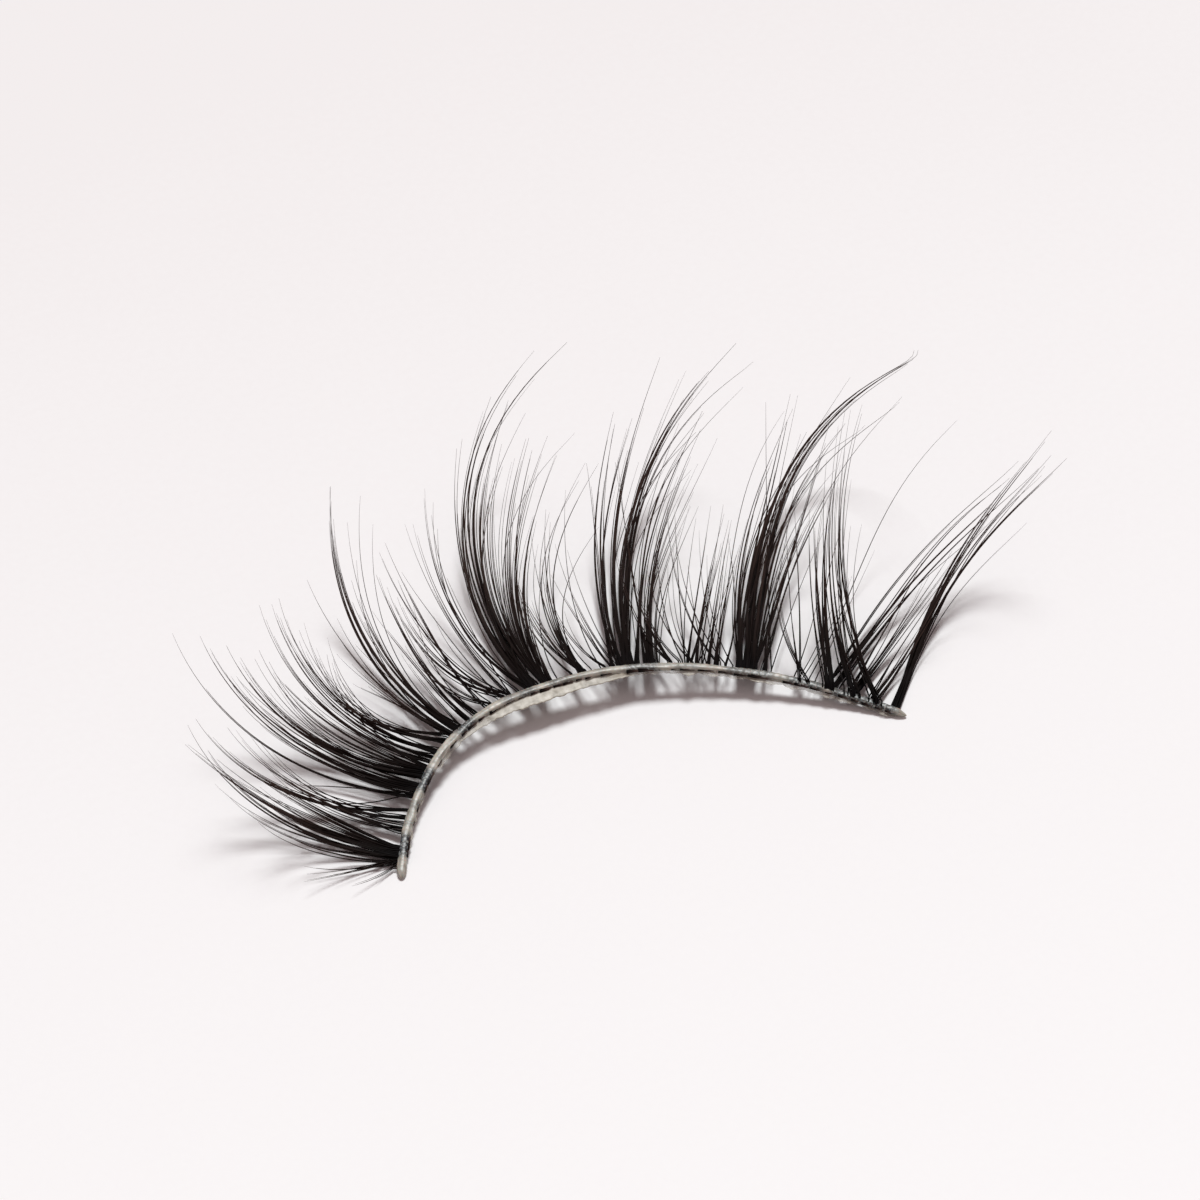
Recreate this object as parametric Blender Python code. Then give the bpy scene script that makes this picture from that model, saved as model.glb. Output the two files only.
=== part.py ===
# False eyelash strip: a thin band bent to the eyelid's curve, a rim of dried glue on its
# inner side, and tufts of black fibre that grow outward from it, sweep and curl upward.
# X runs along the band from the inner corner to the outer corner, Y points the way the
# lashes grow, Z is up. Lengths are metres, angles are degrees, shares run from 0 to 1.

import math
from collections import namedtuple

import bmesh
import bpy
from mathutils import Vector

MM = 0.001

# Band: a flattened strand that rests on both ends and rises between them
BAND_ARC = 31.0 * MM
BAND_WIDTH = 0.36 * MM
BAND_HEIGHT = 0.26 * MM
BAND_CORNER = 0.07 * MM
BAND_END_TAPER = 0.5 * MM
BAND_END_SHARE = 0.7
CROWN_RISE = 1.2 * MM
CROWN_RUN = 1.0 * MM
BAND_STEPS = 48

# Dried glue along the band's inner lower edge
GLUE_WIDTH = 0.42 * MM
GLUE_ROOT = 0.12 * MM
GLUE_RIM = 0.04 * MM
GLUE_LIFT = 0.02 * MM
GLUE_END = 0.8 * MM

# Tufts: locks of fibre fused to a knotted root that is seated on the band
SEAT_GAP = 0.05 * MM
ROOT_DEPTH = 0.30 * MM
ROOT_HEIGHT = 0.24 * MM
ROOT_MARGIN = 0.22 * MM
LONGEST_LASH = 22.0 * MM
LOCK_THICKNESS = 0.36 * MM
LOCK_PITCH = 0.31 * MM
LOCK_RINGS = 9
ROOT_DROOP = 18.0
TIP_RISE = 60.0
CURL_POWER = 1.2
SWEEP_POWER = 2.0
WELD_DISTANCE = 0.0001 * MM
SHARP_ANGLE = 40.0

# Colour and roughness of each material
Finish = namedtuple("Finish", "name colour roughness")
BAND_CREAM = Finish("band_cream", (0.58, 0.54, 0.45), 0.35)
GLUE_CLEAR = Finish("glue_clear", (0.70, 0.66, 0.56), 0.25)
LASH_BLACK = Finish("lash_black", (0.012, 0.010, 0.009), 0.40)

# The band's heading from X, and how wide the glue rim is, along the arc
Turn = namedtuple("Turn", "share heading")
BAND_TURNS = [
    Turn(0.0000, 67.0),
    Turn(0.2500, 36.5),
    Turn(0.4375, 0.0),
    Turn(0.7200, -29.0),
    Turn(1.0000, -46.5),
]
CROWN_SHARE = 0.4375

Rim = namedtuple("Rim", "share width")
GLUE_RIMS = [
    Rim(0.00, 0.30),
    Rim(0.12, 0.42),
    Rim(0.22, 0.40),
    Rim(0.32, 0.85),
    Rim(0.42, 1.00),
    Rim(0.50, 0.80),
    Rim(0.58, 0.35),
    Rim(0.70, 0.50),
    Rim(0.80, 0.35),
    Rim(0.92, 0.45),
    Rim(1.00, 0.30),
]

# How thick a lock is along its length
Swell = namedtuple("Swell", "share thickness")
LOCK_SWELLS = [
    Swell(0.00, 0.60),
    Swell(0.15, 1.00),
    Swell(0.50, 0.70),
    Swell(0.80, 0.38),
    Swell(1.00, 0.15),
]

# One row for each lock: its place from the tuft's middle in steps of LOCK_PITCH, how far it
# leans toward the outer corner at the root, how far it has swept by the tip, its length as a
# share of LONGEST_LASH, and its thickness as a share of LOCK_THICKNESS.
Lock = namedtuple("Lock", "place lean sweep length thickness")

# One entry for each tuft: where its root is seated, how much steeper than the others it
# leaves the band, its share of the full curl, the share of the band at its middle, and its
# locks from inner to outer corner.
Tuft = namedtuple("Tuft", "name seat lift curl share locks")
TUFTS = [
    Tuft("inner_wisp", "side", 0.0, 0.3, 0.0150, [
        Lock(-0.40, -20.0, -10.0, 0.20, 0.55),
        Lock(0.40, -10.0, -10.0, 0.22, 0.55),
    ]),
    Tuft("inner_tuft_1", "side", 0.0, 1.0, 0.0515, [
        Lock(-1.35, 2.0, 4.0, 0.39, 0.90),
        Lock(-0.45, 8.0, 22.0, 0.55, 1.00),
        Lock(0.45, 4.0, 16.0, 0.50, 1.00),
        Lock(1.35, 5.0, 24.0, 0.53, 0.90),
    ]),
    Tuft("inner_tuft_2", "side", 0.0, 1.0, 0.1100, [
        Lock(-1.00, -6.0, 36.0, 0.41, 0.80),
        Lock(0.00, -4.0, 20.0, 0.47, 0.80),
        Lock(1.00, -3.0, 14.0, 0.52, 0.80),
    ]),
    Tuft("inner_tuft_3", "side", 0.0, 1.0, 0.1700, [
        Lock(-1.80, 4.0, 22.0, 0.64, 0.90),
        Lock(-0.90, 5.0, 20.0, 0.61, 1.00),
        Lock(0.00, 5.0, 18.0, 0.60, 1.00),
        Lock(0.90, 7.0, 20.0, 0.54, 1.00),
        Lock(1.80, 8.0, 22.0, 0.50, 0.90),
    ]),
    Tuft("inner_tuft_4", "side", 0.0, 1.0, 0.2430, [
        Lock(-1.10, 9.0, 22.0, 0.45, 0.70),
        Lock(0.00, 6.0, 10.0, 0.54, 0.80),
        Lock(1.10, 8.0, 16.0, 0.48, 0.70),
    ]),
    Tuft("inner_tuft_5", "side", 0.0, 1.0, 0.2975, [
        Lock(-1.35, 14.0, 2.0, 0.36, 0.80),
        Lock(-0.45, 17.0, 26.0, 0.48, 1.00),
        Lock(0.45, 15.0, 45.0, 0.71, 1.10),
        Lock(1.35, 19.0, 30.0, 0.42, 0.80),
    ]),
    Tuft("short_tuft_1", "side", 0.0, 1.0, 0.3540, [
        Lock(-1.60, 14.0, 6.0, 0.48, 0.60),
        Lock(0.00, 12.0, 16.0, 0.46, 0.60),
        Lock(1.60, 9.0, 28.0, 0.52, 0.60),
    ]),
    Tuft("tall_tuft_1", "side", 0.0, 1.0, 0.4240, [
        Lock(-2.00, 9.0, 28.0, 0.54, 0.90),
        Lock(-1.20, 8.0, 36.0, 0.68, 1.00),
        Lock(-0.40, 6.0, 56.0, 0.76, 1.10),
        Lock(0.40, 1.0, 88.0, 0.96, 1.10),
        Lock(1.10, 0.0, 96.0, 0.98, 1.10),
        Lock(2.30, 7.0, 60.0, 0.66, 1.00),
    ]),
    Tuft("short_tuft_2", "side", 0.0, 1.0, 0.5020, [
        Lock(-1.60, 3.0, 50.0, 0.44, 0.60),
        Lock(0.00, 0.0, 68.0, 0.59, 0.60),
        Lock(1.60, 0.0, 60.0, 0.42, 0.60),
    ]),
    Tuft("tall_tuft_2", "side", 0.0, 1.0, 0.5765, [
        Lock(-2.25, 0.0, 32.0, 0.68, 1.00),
        Lock(-1.35, 4.0, 38.0, 0.86, 1.00),
        Lock(-0.45, 5.0, 50.0, 0.72, 1.10),
        Lock(0.45, 3.0, 75.0, 0.93, 1.10),
        Lock(1.35, 4.0, 76.0, 0.88, 1.00),
        Lock(2.25, 9.0, 20.0, 0.75, 0.90),
    ]),
    Tuft("short_tuft_3", "side", 0.0, 1.0, 0.6750, [
        Lock(-2.50, 6.0, 24.0, 0.42, 0.60),
        Lock(-0.30, 7.0, 20.0, 0.44, 0.60),
        Lock(2.70, -2.0, 24.0, 0.42, 0.60),
    ]),
    Tuft("tall_tuft_3", "side", 0.0, 1.0, 0.7615, [
        Lock(-2.25, -5.0, 27.0, 0.72, 1.00),
        Lock(-1.35, -6.0, 40.0, 0.73, 1.10),
        Lock(-0.45, -8.0, 60.0, 0.76, 1.10),
        Lock(0.45, -14.0, 124.0, 0.99, 1.10),
        Lock(1.35, -9.0, 76.0, 0.84, 1.00),
        Lock(2.25, -10.0, 110.0, 0.79, 0.80),
    ]),
    Tuft("outer_tuft_in", "top", 10.0, 1.0, 0.9340, [
        Lock(-4.40, -36.0, 98.0, 0.74, 0.60),
        Lock(-2.20, -40.0, 86.0, 0.72, 0.60),
        Lock(0.00, -42.0, 75.0, 0.72, 0.60),
        Lock(2.20, -44.0, 60.0, 0.66, 0.60),
        Lock(4.40, -45.0, 44.0, 0.60, 0.70),
    ]),
    Tuft("outer_tuft_out", "side", -2.0, 1.0, 0.9240, [
        Lock(-6.40, 12.0, 79.0, 0.83, 0.60),
        Lock(-2.40, 6.0, 92.0, 0.77, 0.60),
        Lock(0.60, 2.0, 100.0, 0.77, 0.70),
        Lock(4.10, -4.0, 80.0, 0.70, 0.80),
        Lock(5.40, -5.0, 66.0, 0.77, 1.00),
    ]),
]

Station = namedtuple("Station", "share point heading")


def clear_scene():
    for thing in list(bpy.data.objects):
        bpy.data.objects.remove(thing, do_unlink=True)


def new_collection(name):
    collection = bpy.data.collections.new(name)
    bpy.context.scene.collection.children.link(collection)
    return collection


def new_material(finish):
    material = bpy.data.materials.new(finish.name)
    material.use_nodes = True
    shader = material.node_tree.nodes["Principled BSDF"]
    shader.inputs["Base Color"].default_value = (*finish.colour, 1.0)
    shader.inputs["Roughness"].default_value = finish.roughness
    shader.inputs["Metallic"].default_value = 0.0
    return material


# A smooth value between the rows of a table, by cubic steps that pass through each row
def between(rows, share):
    last = len(rows) - 1
    slopes = []
    for i in range(last + 1):
        a, b = rows[max(i - 1, 0)], rows[min(i + 1, last)]
        slopes.append((b[1] - a[1]) / (b[0] - a[0]))
    share = min(max(share, rows[0][0]), rows[last][0])
    i = 0
    while i < last - 1 and share > rows[i + 1][0]:
        i += 1
    span = rows[i + 1][0] - rows[i][0]
    t = (share - rows[i][0]) / span
    start = (2 * t**3 - 3 * t**2 + 1) * rows[i][1] + (t**3 - 2 * t**2 + t) * span * slopes[i]
    end = (3 * t**2 - 2 * t**3) * rows[i + 1][1] + (t**3 - t**2) * span * slopes[i + 1]
    return start + end


def direction(heading, rise):
    flat = math.cos(math.radians(rise))
    return Vector((
        flat * math.cos(math.radians(heading)),
        flat * math.sin(math.radians(heading)),
        math.sin(math.radians(rise)),
    ))


# Stations along the band's middle line. The bent length is the arc without the straight
# run at the crown, which lies between two stations of one share.
def band_stations():
    step = (BAND_ARC - CROWN_RUN) / BAND_STEPS
    stations = []
    point = Vector((0.0, 0.0, 0.0))
    for i in range(BAND_STEPS + 1):
        share = i / BAND_STEPS
        if i:
            point = point + direction(between(BAND_TURNS, share - 0.5 / BAND_STEPS), 0.0) * step
        height = BAND_HEIGHT / 2 + CROWN_RISE * math.sin(math.pi * share)
        stations.append(Station(share, Vector((point.x, point.y, height)), between(BAND_TURNS, share)))
        if i == round(CROWN_SHARE * BAND_STEPS):
            point = point + direction(0.0, 0.0) * CROWN_RUN
            stations.append(Station(share, Vector((point.x, point.y, height)), 0.0))
    return stations


def station_at(stations, share):
    i = 0
    while i < len(stations) - 2 and share > stations[i + 1].share:
        i += 1
    a, b = stations[i], stations[i + 1]
    span = b.share - a.share
    t = (share - a.share) / span if span else 0.5
    return Station(share, a.point.lerp(b.point, t), a.heading + (b.heading - a.heading) * t)


def stations_between(stations, start, end):
    inner = [s for s in stations if start < s.share < end]
    return [station_at(stations, start), *inner, station_at(stations, end)]


# A point of a cross-section: outward is away from the eye, up is Z
def section_point(station, outward, up):
    return station.point + direction(station.heading + 90.0, 0.0) * outward + Vector((0.0, 0.0, up))


# A closed body through cross-sections that have the same number of points
def loft(name, sections, collection):
    mesh = bpy.data.meshes.new(name)
    bm = bmesh.new()
    rings = [[bm.verts.new(point) for point in section] for section in sections]
    count = len(rings[0])
    for a, b in zip(rings, rings[1:]):
        for k in range(count):
            bm.faces.new((a[k], a[(k + 1) % count], b[(k + 1) % count], b[k]))
    bm.faces.new(list(reversed(rings[0])))
    bm.faces.new(rings[-1])
    bmesh.ops.recalc_face_normals(bm, faces=bm.faces)
    bm.to_mesh(mesh)
    bm.free()
    thing = bpy.data.objects.new(name, mesh)
    collection.objects.link(thing)
    return thing


# A rectangle with cut corners, as (outward, up) offsets from its middle
def cut_rectangle(width, height, corner):
    x, y = width / 2, height / 2
    return [
        (x, corner - y), (x, y - corner), (x - corner, y), (corner - x, y),
        (-x, y - corner), (-x, corner - y), (corner - x, -y), (x - corner, -y),
    ]


def make_band(stations, collection, material):
    profile = cut_rectangle(BAND_WIDTH, BAND_HEIGHT, BAND_CORNER)
    taper = BAND_END_TAPER / BAND_ARC
    sections = []
    for station in stations:
        from_end = min(station.share, 1.0 - station.share) / taper
        size = BAND_END_SHARE + (1.0 - BAND_END_SHARE) * min(from_end, 1.0)
        sections.append([section_point(station, o * size, u * size) for o, u in profile])
    band = loft("band_strand", sections, collection)
    band.data.materials.append(material)
    return band


def make_glue_edge(stations, collection, material):
    margin = GLUE_END / BAND_ARC
    inner = -(BAND_WIDTH / 2 + SEAT_GAP)
    low = GLUE_LIFT - BAND_HEIGHT / 2
    sections = []
    for station in stations_between(stations, margin, 1.0 - margin):
        width = GLUE_WIDTH * between(GLUE_RIMS, station.share)
        outline = [
            (inner, low), (inner, low + GLUE_ROOT),
            (inner - width / 2, low + (GLUE_ROOT + GLUE_RIM) / 2),
            (inner - width, low + GLUE_RIM), (inner - width, low),
        ]
        sections.append([section_point(station, o, u) for o, u in outline])
    glue = loft("glue_edge", sections, collection)
    glue.data.materials.append(material)
    return glue


# Where a tuft's root is seated on the band, as (outward, up) of the root's middle
def seat_middle(seat):
    if seat == "top":
        return 0.0, BAND_HEIGHT / 2 + SEAT_GAP + ROOT_HEIGHT / 2
    return BAND_WIDTH / 2 + SEAT_GAP + ROOT_DEPTH / 2, 0.0


def lock_share(tuft, lock):
    return tuft.share + lock.place * LOCK_PITCH / BAND_ARC


def make_root(tuft, stations, collection):
    margin = ROOT_MARGIN / BAND_ARC
    start = max(lock_share(tuft, tuft.locks[0]) - margin, 0.0)
    end = min(lock_share(tuft, tuft.locks[-1]) + margin, 1.0)
    outward, up = seat_middle(tuft.seat)
    profile = cut_rectangle(ROOT_DEPTH, ROOT_HEIGHT, BAND_CORNER)
    sections = [
        [section_point(station, outward + o, up + u) for o, u in profile]
        for station in stations_between(stations, start, end)
    ]
    return loft(tuft.name, sections, collection)


# The middle line of one lock: it leaves the band, droops, sweeps outward and curls up
def lock_line(tuft, lock, stations):
    station = station_at(stations, lock_share(tuft, lock))
    outward, up = seat_middle(tuft.seat)
    droop = ROOT_DROOP * math.sin(math.pi * station.share) - tuft.lift
    length = LONGEST_LASH * lock.length
    points = [section_point(station, outward, up)]
    for i in range(LOCK_RINGS - 1):
        share = (i + 0.5) / (LOCK_RINGS - 1)
        heading = station.heading + 90.0 - lock.lean - lock.sweep * share**SWEEP_POWER
        rise = (TIP_RISE * tuft.curl + droop) * share**CURL_POWER - droop
        points.append(points[-1] + direction(heading, rise) * length / (LOCK_RINGS - 1))
    return points


# A lock as a tapered tube, made a mesh with welded caps
def make_lock(name, points, thickness, collection):
    curve = bpy.data.curves.new(name, "CURVE")
    curve.dimensions = "3D"
    curve.bevel_depth = thickness / 2
    curve.bevel_resolution = 1
    curve.use_fill_caps = True
    spline = curve.splines.new("POLY")
    spline.points.add(len(points) - 1)
    for i, point in enumerate(points):
        spline.points[i].co = (*point, 1.0)
        spline.points[i].radius = between(LOCK_SWELLS, i / (len(points) - 1))
    tube = bpy.data.objects.new(name, curve)
    collection.objects.link(tube)
    evaluated = tube.evaluated_get(bpy.context.evaluated_depsgraph_get())
    mesh = bpy.data.meshes.new_from_object(evaluated)
    bm = bmesh.new()
    bm.from_mesh(mesh)
    bmesh.ops.remove_doubles(bm, verts=bm.verts, dist=WELD_DISTANCE)
    bmesh.ops.recalc_face_normals(bm, faces=bm.faces)
    bm.to_mesh(mesh)
    bm.free()
    lock = bpy.data.objects.new(name, mesh)
    lock.matrix_world = tube.matrix_world
    collection.objects.link(lock)
    bpy.data.objects.remove(tube, do_unlink=True)
    lock.hide_render = True
    lock.display_type = "WIRE"
    return lock


def make_tuft(tuft, stations, parts, cutters, material):
    root = make_root(tuft, stations, parts)
    locks = []
    for i, lock in enumerate(tuft.locks):
        points = lock_line(tuft, lock, stations)
        name = f"{tuft.name}_lock_{i + 1}"
        locks.append(make_lock(name, points, LOCK_THICKNESS * lock.thickness, cutters))
        union = root.modifiers.new(name, "BOOLEAN")
        union.operation = "UNION"
        union.solver = "EXACT"
        union.object = locks[-1]
    evaluated = root.evaluated_get(bpy.context.evaluated_depsgraph_get())
    mesh = bpy.data.meshes.new_from_object(evaluated)
    root.modifiers.clear()
    root.data = mesh
    mesh.name = tuft.name
    mesh.materials.clear()
    mesh.materials.append(material)
    for lock in locks:
        bpy.data.objects.remove(lock, do_unlink=True)
    mesh.shade_smooth()
    mesh.set_sharp_from_angle(angle=math.radians(SHARP_ANGLE))
    return root


# The origin is the middle of the whole strip's footprint, at its lowest point
def centre_on_footprint(things):
    corners = [v.co for thing in things for v in thing.data.vertices]
    low = Vector(min(c[k] for c in corners) for k in range(3))
    high = Vector(max(c[k] for c in corners) for k in range(3))
    shift = Vector((-(low.x + high.x) / 2, -(low.y + high.y) / 2, -low.z))
    for thing in things:
        for vertex in thing.data.vertices:
            vertex.co += shift


def main():
    clear_scene()
    parts = new_collection("false_eyelash_strip")
    cutters = new_collection("cutters")
    hair_material = new_material(LASH_BLACK)
    stations = band_stations()
    things = [
        make_band(stations, parts, new_material(BAND_CREAM)),
        make_glue_edge(stations, parts, new_material(GLUE_CLEAR)),
    ]
    for tuft in TUFTS:
        things.append(make_tuft(tuft, stations, parts, cutters, hair_material))
    centre_on_footprint(things)


main()
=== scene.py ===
import math
import random
from collections import namedtuple

import bmesh
import bpy
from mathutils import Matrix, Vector, noise


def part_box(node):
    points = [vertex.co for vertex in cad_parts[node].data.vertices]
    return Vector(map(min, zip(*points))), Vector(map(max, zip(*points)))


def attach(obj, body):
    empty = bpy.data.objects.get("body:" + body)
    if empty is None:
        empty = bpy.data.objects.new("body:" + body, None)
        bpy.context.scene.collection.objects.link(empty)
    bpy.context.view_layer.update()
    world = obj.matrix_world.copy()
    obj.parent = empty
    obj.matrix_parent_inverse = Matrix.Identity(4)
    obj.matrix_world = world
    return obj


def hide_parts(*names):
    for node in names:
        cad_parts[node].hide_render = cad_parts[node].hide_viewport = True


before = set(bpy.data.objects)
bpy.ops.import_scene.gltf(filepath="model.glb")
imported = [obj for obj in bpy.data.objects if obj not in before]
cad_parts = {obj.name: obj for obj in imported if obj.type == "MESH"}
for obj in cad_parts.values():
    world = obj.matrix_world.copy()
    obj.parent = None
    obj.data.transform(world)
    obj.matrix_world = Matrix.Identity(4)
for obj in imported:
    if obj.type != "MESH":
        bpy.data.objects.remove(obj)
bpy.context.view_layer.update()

mm = 0.001

# The band's middle line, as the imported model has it
bandShape = {
    "arc": 31.0 * mm,
    "width": 0.36 * mm,
    "height": 0.26 * mm,
    "rise": 1.2 * mm,
    "crownRun": 1.0 * mm,
    "crownShare": 0.4375,
    "steps": 48,
    "endTaper": 0.5 * mm,
    "endShare": 0.7,
}
Row = namedtuple("Row", "share value")
bandTurns = [Row(0.0, 67.0), Row(0.25, 36.5), Row(0.4375, 0.0), Row(0.72, -29.0), Row(1.0, -46.5)]

Station = namedtuple("Station", "along share point heading")   # along is metres from the inner end


# A smooth value between the rows of a table
def between(rows, share):
    last = len(rows) - 1
    slopes = []
    for i in range(last + 1):
        a, b = rows[max(i - 1, 0)], rows[min(i + 1, last)]
        slopes.append((b.value - a.value) / (b.share - a.share))
    share = min(max(share, rows[0].share), rows[last].share)
    i = 0
    while i < last - 1 and share > rows[i + 1].share:
        i += 1
    span = rows[i + 1].share - rows[i].share
    t = (share - rows[i].share) / span
    start = (2 * t**3 - 3 * t**2 + 1) * rows[i].value + (t**3 - 2 * t**2 + t) * span * slopes[i]
    end = (3 * t**2 - 2 * t**3) * rows[i + 1].value + (t**3 - t**2) * span * slopes[i + 1]
    return start + end


def direction(heading, rise=0.0):
    flat = math.cos(math.radians(rise))
    return Vector((
        flat * math.cos(math.radians(heading)),
        flat * math.sin(math.radians(heading)),
        math.sin(math.radians(rise)),
    ))


def bandStations():
    steps = bandShape["steps"]
    step = (bandShape["arc"] - bandShape["crownRun"]) / steps
    stations = []
    along, point = 0.0, Vector((0.0, 0.0, 0.0))
    for i in range(steps + 1):
        share = i / steps
        if i:
            along += step
            point = point + direction(between(bandTurns, share - 0.5 / steps)) * step
        height = bandShape["height"] / 2 + bandShape["rise"] * math.sin(math.pi * share)
        heading = between(bandTurns, share)
        stations.append(Station(along, share, Vector((point.x, point.y, height)), heading))
        if i == round(bandShape["crownShare"] * steps):
            along += bandShape["crownRun"]
            point = point + direction(0.0) * bandShape["crownRun"]
            stations.append(Station(along, share, Vector((point.x, point.y, height)), 0.0))
    return stations


def bandSize(along):
    fromEnd = min(along, bandShape["arc"] - along) / bandShape["endTaper"]
    return bandShape["endShare"] + (1.0 - bandShape["endShare"]) * min(max(fromEnd, 0.0), 1.0)


# A point beside the band: outward is the way the lashes grow, up is Z
def besideBand(station, outward, up):
    return station.point + direction(station.heading + 90.0) * outward + Vector((0.0, 0.0, up))


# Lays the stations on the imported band, whose box says where it is
def laidOnFrame(stations):
    low = Vector((1.0, 1.0, 1.0))
    for station in stations:
        size = bandSize(station.along)
        for outward in (-0.5, 0.5):
            corner = besideBand(
                station, outward * bandShape["width"] * size, -0.5 * bandShape["height"] * size
            )
            low = Vector(map(min, low, corner))
    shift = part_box("band_strand")[0] - low
    return [s._replace(point=s.point + shift) for s in stations]


stations = laidOnFrame(bandStations())


def stationAt(along):
    i = 0
    while i < len(stations) - 2 and along > stations[i + 1].along:
        i += 1
    a, b = stations[i], stations[i + 1]
    t = (along - a.along) / (b.along - a.along)
    share = a.share + (b.share - a.share) * t
    return Station(along, share, a.point.lerp(b.point, t), a.heading + (b.heading - a.heading) * t)


def bumps(x, y, z=0.0):
    return noise.noise(Vector((x, y, z)))


def addObject(name, data):
    made = bpy.data.objects.new(name, data)
    bpy.context.scene.collection.objects.link(made)
    return made


# Node helpers. plugs holds what goes into each input: a value, another node's output, or a
# node, which stands for its first output.

def plugInto(tree, node, plugs):
    for label, value in plugs.items():
        if isinstance(value, bpy.types.Node):
            value = value.outputs[0]
        if isinstance(value, bpy.types.NodeSocket):
            tree.links.new(value, node.inputs[label])
        else:
            node.inputs[label].default_value = value


def addNode(tree, kind, plugs=None, **settings):
    node = tree.nodes.new(kind)
    for label, value in settings.items():
        setattr(node, label, value)
    plugInto(tree, node, plugs or {})
    return node


def doMath(tree, operation, *values, **settings):
    plugs = dict(enumerate(values))
    return addNode(tree, "ShaderNodeMath", plugs, operation=operation, **settings).outputs["Value"]


# Materials

def newMaterial(name, colour, roughness):
    material = bpy.data.materials.new(name)
    material.use_nodes = True
    tree = material.node_tree
    shader = tree.nodes["Principled BSDF"]
    plugInto(tree, shader, {"Base Color": (*colour, 1.0), "Roughness": roughness})
    place = addNode(tree, "ShaderNodeTexCoord").outputs["Object"]
    return material, tree, shader, place


def colourRamp(tree, value, stops):
    ramp = addNode(tree, "ShaderNodeValToRGB", {"Fac": value})
    elements = ramp.color_ramp.elements
    while len(elements) < len(stops):
        elements.new(0.5)
    for element, (place, colour) in zip(elements, stops):
        element.position = place
        element.color = (*colour, 1.0)
    return ramp.outputs["Color"]


def noiseTexture(tree, place, scale, detail=3.0, stretch=(1.0, 1.0, 1.0)):
    mapping = addNode(tree, "ShaderNodeMapping", {"Vector": place, "Scale": stretch})
    plugs = {"Vector": mapping, "Scale": scale, "Detail": detail}
    return addNode(tree, "ShaderNodeTexNoise", plugs).outputs["Fac"]


def ranged(tree, value, low, high, fromLow=0.0, fromHigh=1.0):
    return addNode(tree, "ShaderNodeMapRange", {
        "Value": value, "From Min": fromLow, "From Max": fromHigh, "To Min": low, "To Max": high,
    }).outputs["Result"]


def attribute(tree, label):
    return addNode(tree, "ShaderNodeAttribute", attribute_name=label).outputs["Fac"]


def colourMix(tree, factor, a, b, blend="MIX"):
    plugs = {"Factor": factor, "A": a, "B": b}
    node = addNode(tree, "ShaderNodeMix", plugs, data_type="RGBA", blend_type=blend)
    return node.outputs["Result"]


def bumpNormal(tree, height, strength, distance):
    plugs = {"Height": height, "Strength": strength, "Distance": distance}
    return addNode(tree, "ShaderNodeBump", plugs).outputs["Normal"]


# Black fibre that turns brown where it thins out, told by how far along the fibre it is
def makeLashBlack():
    material, tree, shader, place = newMaterial("lashBlackFibre", (0.005, 0.004, 0.004), 0.5)
    colour = colourRamp(tree, attribute(tree, "alongFibre"), [
        (0.00, (0.0034, 0.0034, 0.0040)),
        (0.10, (0.0030, 0.0022, 0.0021)),
        (0.45, (0.0170, 0.0105, 0.0092)),
        (1.00, (0.0800, 0.0520, 0.0440)),
    ])
    warmth = (0.0030, 0.0016, 0.0014, 1.0)
    colour = colourMix(tree, attribute(tree, "fibreTone"), colour, warmth, "ADD")
    gloss = ranged(tree, noiseTexture(tree, place, 9000.0), 0.36, 0.58)
    plugInto(tree, shader, {"Base Color": colour, "Roughness": gloss, "Specular IOR Level": 0.03})
    return material


# Cream thread soaked in glue: streaks along the band, and blue-grey mottling where the roots
# of a dense tuft show through (attribute rootShade)
def makeBandCream():
    material, tree, shader, place = newMaterial("bandCreamThread", (0.40, 0.36, 0.29), 0.45)
    uv = addNode(tree, "ShaderNodeUVMap", uv_map="alongBand").outputs["UV"]
    cream = colourRamp(tree, noiseTexture(tree, uv, 1.0, 5.0, (1.3, 8.0, 1.0)), [
        (0.28, (0.15, 0.138, 0.120)),
        (0.45, (0.29, 0.270, 0.230)),
        (0.60, (0.43, 0.400, 0.345)),
        (0.78, (0.56, 0.530, 0.470)),
    ])
    dark = colourRamp(tree, noiseTexture(tree, place, 9500.0), [
        (0.44, (0.006, 0.006, 0.008)),
        (0.53, (0.035, 0.040, 0.044)),
        (0.64, (0.260, 0.265, 0.255)),
    ])
    colour = colourMix(tree, attribute(tree, "rootShade"), cream, dark)
    grain = noiseTexture(tree, place, 7000.0, 4.0)
    plugInto(tree, shader, {
        "Base Color": colour, "Roughness": ranged(tree, grain, 0.30, 0.65),
        "Normal": bumpNormal(tree, grain, 0.4, 0.02 * mm),
        "Subsurface Weight": 0.2, "Subsurface Scale": 0.12 * mm,
        "Coat Weight": 0.15, "Coat Roughness": 0.2,
    })
    return material


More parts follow.
